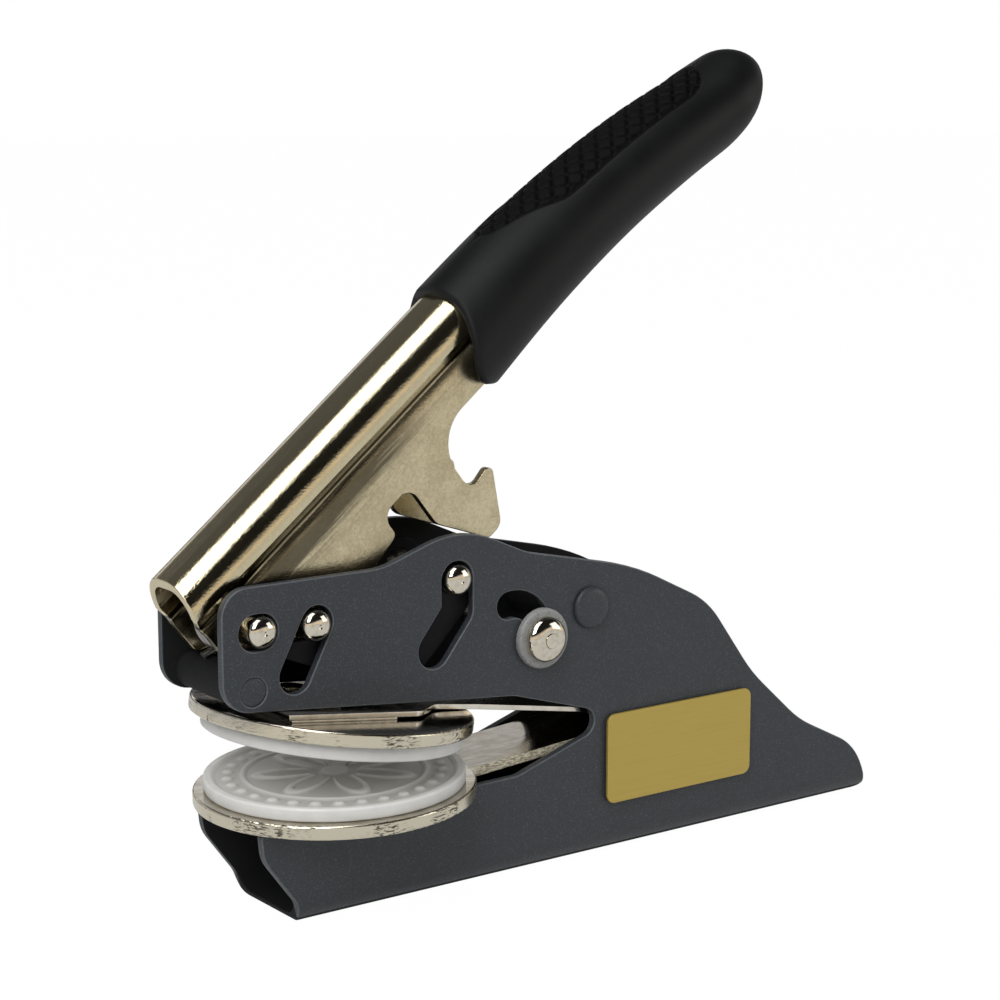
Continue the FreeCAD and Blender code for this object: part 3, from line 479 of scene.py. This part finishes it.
# the rounded arrises get a lighter coat: partly worn paint, partly a painted highlight along the
# edges
FRAME_ARRIS_WEAR_AND_SHEEN = powder_coat("frame_arris_wear_and_sheen", (0.105, 0.115, 0.128), (0.22, 0.235, 0.25), 0.30)
PLATE = nickel_plate("plated_strip", (0.80, 0.76, 0.67), (0.66, 0.61, 0.52), 0.12)
LOWER_PLATE = nickel_plate("plated_lower_disc", (0.62, 0.58, 0.50), (0.50, 0.46, 0.38), 0.07,
                           LOWER_DISC)
UPPER_PLATE = nickel_plate("plated_upper_disc", (0.62, 0.58, 0.50), (0.50, 0.46, 0.38), 0.04,
                           UPPER_DISC)
LEVER_PLATE = folded_nickel("plated_lever", (0.72, 0.635, 0.43), (0.52, 0.45, 0.29), 0.08)
PIN_NICKEL = polished_nickel("polished_pins", (0.74, 0.69, 0.58))
BAR_BLACK = bar_paint("bar_black")
# each die's second colour is painted shade for the recesses
LOWER_WHITE = moulded_white("lower_die_white", (0.88, 0.875, 0.845), (0.66, 0.65, 0.61),
                            LOWER_SEAT)
UPPER_WHITE = moulded_white("upper_die_white", (0.88, 0.875, 0.845), (0.66, 0.65, 0.61),
                            UPPER_SEAT)
RUBBER = soft_rubber("grip_black_rubber", (0.0034, 0.0037, 0.0042), 0.46, 0.24)
PATCH_RUBBER = soft_rubber("grip_patch_rubber", (0.0022, 0.0022, 0.0024), 0.62, 0.11)
BRASS = gold_brass("nameplate_brass")
# the nameplate's foam pad: dark tape whose rim round the plate is partly painted shadow
TAPE_AND_SHADOW = foam_tape("nameplate_tape_and_shadow")
WASHER = frosted_ring("lock_washer_plastic")
WIRE = drawn_wire("spring_wire_steel")


# ---------------------------------------------------------------- making pieces

def eased(value, low, high):
    """0 below low, 1 above high, and smooth between."""
    t = min(max((value - low) / (high - low), 0.0), 1.0)
    return t * t * (3 - 2 * t)


def finish_piece(form, name, body, finishes, stands_for, crease=38.0, even=True):
    """Closes the form into a named piece that rides on a body in place of its solid.
    A body given as (first, second, start, end) leaves it on no body, its place baked in."""
    mesh = bpy.data.meshes.new(name)
    form.to_mesh(mesh)
    form.free()
    for face in mesh.polygons:
        face.use_smooth = True
    mesh.set_sharp_from_angle(angle=radians(crease))
    piece = bpy.data.objects.new(name, mesh)
    bpy.context.scene.collection.objects.link(piece)
    for finish in finishes:
        mesh.materials.append(finish)
    if even:
        shading = piece.modifiers.new("even_shading", "WEIGHTED_NORMAL")
        shading.keep_sharp = True
        shading.weight = 100
    if isinstance(body, tuple):
        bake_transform(piece)
    else:
        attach(piece, body)
    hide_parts(*stands_for)
    return piece


def merged_solid(node):
    """The node's faces joined up, with its flats in as few faces as they need."""
    form = bmesh.new()
    form.from_mesh(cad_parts[node].data)
    bmesh.ops.remove_doubles(form, verts=form.verts, dist=0.003 * MM)
    bmesh.ops.dissolve_limit(form, angle_limit=radians(0.5), verts=form.verts,
                             edges=form.edges, use_dissolve_boundaries=False)
    return form


def soften_arrises(form, width, material=-1, sharper_than=32.0):
    """Rounds every edge that turns sharply."""
    sharp = [edge for edge in form.edges if len(edge.link_faces) == 2
             and edge.calc_face_angle() > radians(sharper_than)]
    bmesh.ops.bevel(form, geom=sharp, offset=width * MM, offset_type="OFFSET",
                    segments=2, profile=0.5, affect="EDGES", material=material,
                    clamp_overlap=False, loop_slide=True)


def pressed_piece(node, body, finishes, width, material=-1, sharper_than=32.0):
    """A sheet or bar piece with its arrises broken, as the press and the tumbler leave it."""
    form = merged_solid(node)
    soften_arrises(form, width, material, sharper_than)
    return finish_piece(form, node + "_dressed", body, finishes, [node])


def make_strip():
    """The spring strip, cut across its free length."""
    form = merged_solid("spring_strip")
    soften_arrises(form, 0.10)
    for number in range(STRIP_CUTS + 1):
        place = STRIP_FIXED + (STRIP_HELD - STRIP_FIXED) * number / STRIP_CUTS
        bmesh.ops.bisect_plane(form, geom=form.verts[:] + form.edges[:] + form.faces[:],
                               dist=0.0005 * MM, plane_co=(place * MM, 0, 0),
                               plane_no=(1, 0, 0))
    bend = ("frame", "upper_die", (STRIP_FIXED * MM, 0, 0.0), (STRIP_HELD * MM, 0, 0.0))
    return finish_piece(form, "spring_strip_dressed", bend, [PLATE],
                        ["spring_strip"])


# ---------------------------------------------------------------- turned pieces

def turned_piece(node, name, body, finish, profiles, crease=38.0):
    """A piece turned about a cross axis, from profiles of (distance from that axis,
    distance from the middle plane) that are closed or run from axis to axis."""
    low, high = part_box(node)
    centre = (low + high) / 2
    form = bmesh.new()
    for profile in profiles:
        first = [form.verts.new((centre.x + reach * MM, out * MM, centre.z))
                 for reach, out in profile]
        edges = [form.edges.new(pair) for pair in zip(first, first[1:])]
        bmesh.ops.spin(form, geom=first + edges, cent=(centre.x, 0, centre.z), axis=(0, 1, 0),
                       angle=2 * pi, steps=56, use_merge=True)
    bmesh.ops.remove_doubles(form, verts=form.verts, dist=0.002 * MM)
    bmesh.ops.recalc_face_normals(form, faces=form.faces)
    return finish_piece(form, name, body, [finish], [node], crease, even=False)


def mirrored(profile):
    """The same profile on the other side of the middle plane."""
    return [(reach, -out) for reach, out in profile]


def both_ends(end):
    """An end's profile, from rim to middle, together with its mirror image."""
    return mirrored(reversed(end)) + end


def pin_end():
    """The profile of a pin's domed end with its small centre mark, from rim to middle."""
    mark, mark_depth, steps = 0.34, 0.16, 10
    points = []
    for number in range(steps + 1):
        turn = 0.5 * pi * number / steps
        points.append((PIN_RADIUS * cos(turn) ** 0.85, PIN_FACE - PIN_DOME * (1 - sin(turn))))
    rim = [point for point in points if point[0] > mark * 1.35]
    return rim + [(mark * 1.3, PIN_FACE - 0.01), (mark, PIN_FACE - 0.05),
                  (mark * 0.55, PIN_FACE - mark_depth), (0.0, PIN_FACE - mark_depth * 1.15)]


def domed_pin(node):
    """A round pin of the lever, right across the frame, with a dome at each end."""
    return turned_piece(node, node + "_domed", "handle", PIN_NICKEL,
                        [both_ends(pin_end())])


def press_studs():
    """The press bar's two short studs, each with a domed end."""
    stud = [(0.0, STUD_FOOT), (PIN_RADIUS, STUD_FOOT)] + pin_end()
    return turned_piece("press_studs", "press_studs_domed", "press", PIN_NICKEL,
                        [stud, mirrored(stud)])


def riveted_tube(node, name, tube, neck, end):
    """A cross tube with a shoulder at each wall, its ends riveted over the walls."""
    outline = [(tube, INNER_WALL), (neck, INNER_WALL)]
    outline += [(reach, WALL_FACE + rise) for reach, rise in end]
    return turned_piece(node, name, "frame", FRAME_COAT, [both_ends(outline)])


def lock_ring(node, name, finish, bore, radius, low, high, shoulder, edge):
    """A ring round the lock pin on both sides of the frame.  Its outer rim is rounded over
    this wide a shoulder and this high an edge, and its other corners are broken."""
    broken, bore_broken, steps = 0.1, 0.12, 10
    rounding = []
    for number in range(steps + 1):
        turn = 0.5 * pi * number / steps
        rounding.append((radius - shoulder * (1 - cos(turn)), high - edge * (1 - sin(turn))))
    ring = [(bore, low), (radius - broken, low), (radius, low + broken)] + rounding \
        + [(bore + bore_broken, high), (bore, high - bore_broken), (bore, low)]
    return turned_piece(node, name, "lock", finish, [ring, mirrored(ring)], crease=30.0)


# ---------------------------------------------------------------- forms grown by rings

def grow_ring(form, edges):
    """Extrudes a ring of edges: the new ring's corners and edges."""
    grown = bmesh.ops.extrude_edge_only(form, edges=edges)["geom"]
    corners = [v for v in grown if isinstance(v, bmesh.types.BMVert)]
    return corners, [e for e in grown if isinstance(e, bmesh.types.BMEdge)
                     and e.verts[0] in corners and e.verts[1] in corners]


def stack_rings(form, around, count):
    """A unit circle grown into this many rings: the corners of each."""
    bmesh.ops.create_circle(form, segments=around, radius=1.0)
    ring, edges = list(form.verts), list(form.edges)
    stack = [ring]
    while len(stack) < count:
        ring, edges = grow_ring(form, edges)
        stack.append(ring)
    return stack


# ---------------------------------------------------------------- dies

def ridge(distance, flat, foot, height):
    """Height of a ridge at a distance from its middle: flat this far, and gone by its foot."""
    return height * (1.0 - eased(distance, flat, foot))


def die_relief(radius, bearing):
    """Height of the die's face off its rim: a beaded ring, a fine ring and a rosette."""
    level = -RELIEF_DEPTH * eased(RELIEF_REACH - radius, 0.0, RELIEF_SLOPE)
    pitch = 2 * pi / BEADS
    off = (bearing / pitch - round(bearing / pitch)) * pitch * radius
    bead = sqrt((radius - BEAD_RING) ** 2 + off ** 2)
    level += ridge(bead, 0.55, 1.15, 0.42)
    level += ridge(abs(radius - FINE_RING), 0.25, 0.6, 0.34)
    petal = abs(cos(PETALS / 2 * bearing)) * PETAL_REACH
    level += ridge(abs(radius - petal), 0.5, 1.6, 0.45) * eased(radius, 3.0, 5.0)
    level += ridge(radius, HUB_RADIUS, HUB_RADIUS + 0.8, 0.4)
    return level


def die_face(seat, reach, bearing, raised):
    """Height of a point of the die's face; the counterpart is cut where the other rises."""
    carved = die_relief(reach, bearing)
    if not raised and reach < RELIEF_REACH - RELIEF_SLOPE:
        carved = -RELIEF_DEPTH - carved
    return seat.face + seat.up * min(carved, 0.0)


def die_side(seat):
    """Reach and height of the rings of a die's side, from its base over its eased rim."""
    broken, steps = 0.12, 6
    rings = [(DIE_RADIUS - DIE_EASE, seat.base),
             (DIE_RADIUS - broken, seat.base + broken * seat.up),
             (DIE_RADIUS, seat.base + DIE_EASE * seat.up)]
    for number in range(steps + 1):
        turn = 0.5 * pi * number / steps
        rings.append((DIE_RADIUS - DIE_EASE + DIE_EASE * cos(turn),
                      seat.face - seat.up * DIE_EASE * (1 - sin(turn))))
    return rings


def make_die(node, body, finish, seat, raised):
    """A round die: its rim eased, its face towards the paper in low relief."""
    at = Matrix.Translation(Vector((seat.x, 0, seat.z)) * MM) \
        @ Matrix.Rotation(radians(seat.lean), 4, "Y")
    face_rings = 76
    rings = die_side(seat)
    rings += [((DIE_RADIUS - DIE_EASE) * (1 - number / face_rings), None)
              for number in range(1, face_rings)]
    form = bmesh.new()
    stack = stack_rings(form, 300, len(rings))
    for (reach, level), ring in zip(rings, stack):
        for vert in ring:
            c, s = vert.co.x, vert.co.y
            rise = die_face(seat, reach, atan2(s, c), raised) if level is None else level
            vert.co = at @ (Vector((reach * c, reach * s, rise)) * MM)
    for ring in (stack[0], stack[-1]):
        bmesh.ops.contextual_create(form, geom=ring)
    bmesh.ops.recalc_face_normals(form, faces=form.faces)
    return finish_piece(form, node + "_moulded", body, [finish], [node],
                        crease=50.0, even=False)


# ---------------------------------------------------------------- grip

def between(stations, along, column):
    """A smooth value between stations, as a spline through them gives."""
    places = [s[0] for s in stations]
    if along <= places[0]:
        return stations[0][column]
    if along >= places[-1]:
        return stations[-1][column]
    k = max(i for i, p in enumerate(places) if p <= along)

    def slope(i):
        low, high = max(i - 1, 0), min(i + 1, len(places) - 1)
        return (stations[high][column] - stations[low][column]) / (places[high] - places[low])

    span = places[k + 1] - places[k]
    t = (along - places[k]) / span
    a, b = stations[k][column], stations[k + 1][column]
    return ((2 * t ** 3 - 3 * t ** 2 + 1) * a + (t ** 3 - 2 * t ** 2 + t) * span * slope(k)
            + (3 * t ** 2 - 2 * t ** 3) * b + (t ** 3 - t ** 2) * span * slope(k + 1))


def patch_half_width(along):
    """Half the crossed patch's width at a place along the handle."""
    for (a, wide_a), (b, wide_b) in zip(PATCH_EDGE, PATCH_EDGE[1:]):
        if a <= along <= b:
            return wide_a + (wide_b - wide_a) * (along - a) / (b - a)
    return 0.0


def patch_sink(along, across, round_top):
    """How deep the crossed patch lies under the skin at a point on the grip's top."""
    inside = patch_half_width(along) - abs(across)
    if inside < -0.5:
        return 0.0
    rest = eased(inside, -0.25, 0.25)
    ring = 1.0 - eased(abs(inside - 0.2), 0.12, 0.42)
    first = ((along + round_top) / LATTICE) % 1.0
    second = ((along - round_top) / LATTICE) % 1.0
    line = min(first, 1 - first, second, 1 - second) * LATTICE / sqrt(2)
    groove = 1.0 - eased(line, 0.08, 0.34)
    return rest * (PATCH_DEPTH + GROOVE_DEPTH * max(groove, ring * 0.8)) + (1 - rest) * ring * 0.12


def mouth_at(height):
    """How far along the mouth's edge lies at a height over the pivot pin."""
    for (low, start), (high, end) in zip(GRIP_MOUTH, GRIP_MOUTH[1:]):
        if height <= high:
            return start + (end - start) * (height - low) / (high - low)
    return GRIP_MOUTH[-1][1]


def nose_shrink(place, nose):
    """How far the round nose has drawn in at a place along the handle."""
    run, depth, fullness = nose
    into = min(max((place - (GRIP_TIP - run)) / run, 0.0), 1.0)
    return depth * (1.0 - (1.0 - into ** 2) ** fullness)


def grip_point(place, c, s, shrink):
    """A point of the grip's skin, where c and s say which one on the oval; and the oval's
    half height and half width there."""
    centre, high, wide = (between(GRIP_STATIONS, place, column) for column in (1, 2, 3))
    wide = wide - shrink - nose_shrink(place, NOSE_SIDE)
    top = centre + high - shrink - nose_shrink(place, NOSE_TOP)
    bottom = centre - high + shrink + nose_shrink(place, NOSE_BOTTOM)
    centre += ((top + bottom) / 2 - centre) * eased(place, GRIP_TIP - NOSE_BOTTOM[0], GRIP_TIP)
    high = top - centre if c > 0 else centre - bottom
    return Vector((place, wide * s, centre + high * c)), high, wide


def grip_rings():
    """The grip's rings: each one's share of the way from the slanted mouth to the first
    square ring, how far it is drawn in, and how far along it lies, which is counted from
    the mouth's edge in the slanted rings and from the pivot pin in the square ones."""
    rings = [(0.0, MOUTH_LIP * (1 - sin(t * pi / 2)), MOUTH_LIP * (1 - cos(t * pi / 2)))
             for t in (0.0, 0.3, 0.6, 0.85, 1.0)]
    rings += [(share, 0.0, MOUTH_LIP) for share in (0.12, 0.25, 0.4, 0.55, 0.7, 0.85)]
    along = MOUTH_BLEND
    while along < GRIP_TIP - NOSE_RINGS:
        rings.append((1.0, 0.0, along))
        by_patch = PATCH_EDGE[0][0] - 0.8 < along < PATCH_EDGE[-1][0] + 0.8
        along += FINE_RINGS if by_patch else COARSE_RINGS
    steps = 16
    rings += [(1.0, 0.0, GRIP_TIP - NOSE_RINGS * (1 - sin(0.5 * pi * number / steps)))
              for number in range(steps + 1)]
    return rings


def shape_ring(ring, share, shrink, offset):
    """Puts a ring of the unit circle on the grip's skin: its corners in the patch."""
    in_patch = []
    for vert in ring:
        c, s = vert.co.x, vert.co.y
        place = offset
        if share < 1.0:
            edge = mouth_at(grip_point(MOUTH_MIDDLE, c, s, 0.0)[0].z) + offset
            place = edge + (MOUTH_BLEND - edge) * share
        point, high, wide = grip_point(place, c, s, shrink)
        if c > 0 and PATCH_START < place < PATCH_END:
            turn = abs(point.y) / wide
            round_top = (wide + high) / 2 * (turn + turn ** 3 / 6 + 0.075 * turn ** 5)
            sunk = patch_sink(place, point.y, round_top if point.y > 0 else -round_top)
            if sunk > 0.1:
                in_patch.append(vert)
            point -= Vector((0, s / wide, c / high)).normalized() * sunk
        vert.co = HANDLE @ (point * MM)
    return in_patch


def close_end(form, ring, caps):
    """Closes an end of the grip by rings, each a share of its size and a step inwards."""
    inward = (HANDLE.to_3x3() @ Vector((1, 0, 0))) * MM
    middle = sum((v.co for v in ring), Vector()) / len(ring)
    corners = set(ring)
    edges = [e for e in form.edges if e.verts[0] in corners and e.verts[1] in corners]
    last_share = 1.0
    for share, step in caps:
        grown, edges = grow_ring(form, edges)
        for v in grown:
            v.co = middle + (v.co - middle) * (share / last_share) + inward * step
        middle, last_share = middle + inward * step, share


def make_grip():
    """The moulded grip: a slanted mouth, oval rings, a crossed patch and a round nose."""
    form = bmesh.new()
    rings = grip_rings()
    stack = stack_rings(form, GRIP_AROUND, len(rings))
    in_patch = set()
    for settings, ring in zip(rings, stack):
        in_patch.update(shape_ring(ring, *settings))
    close_end(form, stack[0], [(0.9, 0.5), (0.72, 1.0), (0.0, 0.0)])
    close_end(form, stack[-1], [(0.0, 0.0)])
    for face in form.faces:
        face.material_index = 1 if in_patch.issuperset(face.verts) else 0
    bmesh.ops.remove_doubles(form, verts=form.verts, dist=0.001 * MM)
    bmesh.ops.recalc_face_normals(form, faces=form.faces)
    return finish_piece(form, "rubber_grip", "handle",
                        [RUBBER, PATCH_RUBBER], ["handle_grip"],
                        crease=60.0, even=False)


# ---------------------------------------------------------------- pieces

FRAME_ARRIS_INDEX = 1
pressed_piece("frame", "frame", [FRAME_COAT, FRAME_ARRIS_WEAR_AND_SHEEN], 0.20,
              material=FRAME_ARRIS_INDEX)
pressed_piece("lower_die_plate", "frame", [LOWER_PLATE], 0.15, sharper_than=60.0)
pressed_piece("upper_die_plate", "upper_die", [UPPER_PLATE], 0.15, sharper_than=60.0)
make_strip()
pressed_piece("doubler", "upper_die", [PLATE], 0.06)
pressed_piece("press_bar", "press", [BAR_BLACK], 0.18)
pressed_piece("handle_lever", "handle", [LEVER_PLATE], 0.16)
pressed_piece("nameplate", "frame", [BRASS], 0.10)
make_die("lower_die", "frame", LOWER_WHITE, LOWER_SEAT, raised=True)
make_die("upper_die", "upper_die", UPPER_WHITE, UPPER_SEAT, raised=False)
domed_pin("pivot_pin")
domed_pin("drive_pin")
press_studs()
riveted_tube("rear_spacer", "rear_spacer_headed", REAR_TUBE, REAR_NECK, HEADED_END)
riveted_tube("front_spacer", "front_spacer_flushed", FRONT_TUBE, FRONT_NECK, FLUSH_END)
lock_ring("lock_washers", "lock_washers_moulded", WASHER, bore=2.1,
          radius=5.1, low=WASHER_FOOT, high=CAP_FOOT, shoulder=0.5, edge=0.6)
lock_ring("lock_caps", "lock_caps_domed", PIN_NICKEL, bore=1.2,
          radius=3.85, low=CAP_FOOT, high=CAP_FOOT + CAP_HEIGHT, shoulder=2.4, edge=1.6)
make_grip()

AS_THEY_ARE = {
    "nameplate_pad": TAPE_AND_SHADOW, "insert_rivets": PLATE, "clamp_rivets": PLATE,
    "return_spring": WIRE, "lock_pin": PIN_NICKEL,
}
for node, finish in AS_THEY_ARE.items():
    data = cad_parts[node].data
    data.materials.clear()
    data.materials.append(finish)


# ---------------------------------------------------------------- studio

LAMPS = [
    # name, place and what it aims at in metres, width, height, watts
    ("key_softbox", (-0.75, -0.55, 0.75), (0, 0, 0.06), 0.6, 0.6, 5.2),
    ("fill_softbox", (0.75, -0.6, 0.35), (0, 0, 0.06), 0.5, 0.5, 1.2),
    ("top_softbox", (-0.33, -0.16, 1.03), (-0.02, 0, 0.08), 0.72, 0.62, 3.9),
]
CAMERA_PLACE = (-0.24165, -0.310, 0.1292)
CAMERA_TURN = (radians(80.1), 0.0, radians(-36.2))
CAMERA_LENS = 83.88
FLOOR_REACH, FLOOR_GREY, FLOOR_GLOW = 6.0, 0.56, 1.02


def make_floor():
    """A plain pale floor that reads as white and keeps the object's shadow."""
    finish = Finish("studio_floor")
    seen = finish.node("ShaderNodeLightPath", output="Is Camera Ray")
    reflected = finish.node("ShaderNodeLightPath", output="Is Glossy Ray")
    passed = finish.node("ShaderNodeLightPath", output="Is Transmission Ray")
    cloth = finish.node("ShaderNodeBsdfDiffuse", None, {"Color": (FLOOR_GREY,) * 3})
    glow = finish.node("ShaderNodeEmission", None,
                       {"Color": (1.0, 1.0, 1.0), "Strength": FLOOR_GLOW})
    share = seen * 0.97 + reflected * 0.38 + passed * 0.5
    mixed = finish.node("ShaderNodeMixShader", None, {0: share, 1: cloth, 2: glow})
    finish.node("ShaderNodeOutputMaterial", None, {"Surface": mixed})
    form = bmesh.new()
    bmesh.ops.create_grid(form, x_segments=4, y_segments=4, size=FLOOR_REACH)
    mesh = bpy.data.meshes.new("studio_floor")
    form.to_mesh(mesh)
    form.free()
    mesh.materials.append(finish.block)
    floor = bpy.data.objects.new("studio_floor", mesh)
    bpy.context.scene.collection.objects.link(floor)


def make_room():
    """A white backdrop for the camera, and a softly graded room for the light: pale low
    down and dark above in front of the object, and pale higher up behind it."""
    air = Finish("studio_room", kept_in="worlds")
    bpy.context.scene.world = air.block
    seen = air.node("ShaderNodeLightPath", output="Is Camera Ray")
    passed = air.node("ShaderNodeLightPath", output="Is Transmission Ray")
    reflected = air.node("ShaderNodeLightPath", output="Is Glossy Ray")
    way = air.node("ShaderNodeTexCoord", output="Generated")
    rise = air.node("ShaderNodeSeparateXYZ", None, {"Vector": way}, output="Z")
    depth = air.node("ShaderNodeSeparateXYZ", None, {"Vector": way}, output="Y")
    before = rise.ramp(0.12, 0.28, 0.85, 0.012)
    behind = rise.ramp(0.20, 0.50, 0.95, 0.10) * rise.ramp(0.13, 0.20, 0.04, 1.0)
    back_share = depth.ramp(-0.2, 0.2)
    room_grey = before * (1 - back_share) + behind * back_share
    plain_grey = 0.30
    level = (reflected * room_grey + (1 - reflected) * plain_grey) \
        * (1 - seen) * (1 - passed) + seen.most(passed)
    warmth = air.blend(reflected * (1 - back_share) * rise.ramp(0.1, 0.3, 1.0, 0.0),
                       (1.0, 1.0, 1.0), (1.0, 0.87, 0.70))
    shown = air.node("ShaderNodeBackground", None, {"Color": warmth, "Strength": level})
    air.node("ShaderNodeOutputWorld", None, {"Surface": shown})


def soft_light(name, place, aim, width, height, watts):
    """A soft box of this size that aims at a point."""
    lamp = bpy.data.lights.new(name, "AREA")
    lamp.shape = "RECTANGLE"
    lamp.size, lamp.size_y = width, height
    lamp.energy = watts
    light = bpy.data.objects.new(name, lamp)
    light.location = place
    light.rotation_euler = (Vector(aim) - Vector(place)).to_track_quat("-Z", "Y").to_euler()
    bpy.context.scene.collection.objects.link(light)


def make_camera():
    """The catalogue view: from in front of the dies, a little above."""
    lens = bpy.data.cameras.new("catalogue_camera")
    lens.lens, lens.sensor_width = CAMERA_LENS, 36.0
    camera = bpy.data.objects.new("catalogue_camera", lens)
    camera.location = CAMERA_PLACE
    camera.rotation_euler = CAMERA_TURN
    bpy.context.scene.collection.objects.link(camera)
    bpy.context.scene.camera = camera


make_floor()
make_room()
for lamp_settings in LAMPS:
    soft_light(*lamp_settings)
make_camera()
bpy.context.scene.view_settings.view_transform = "Standard"
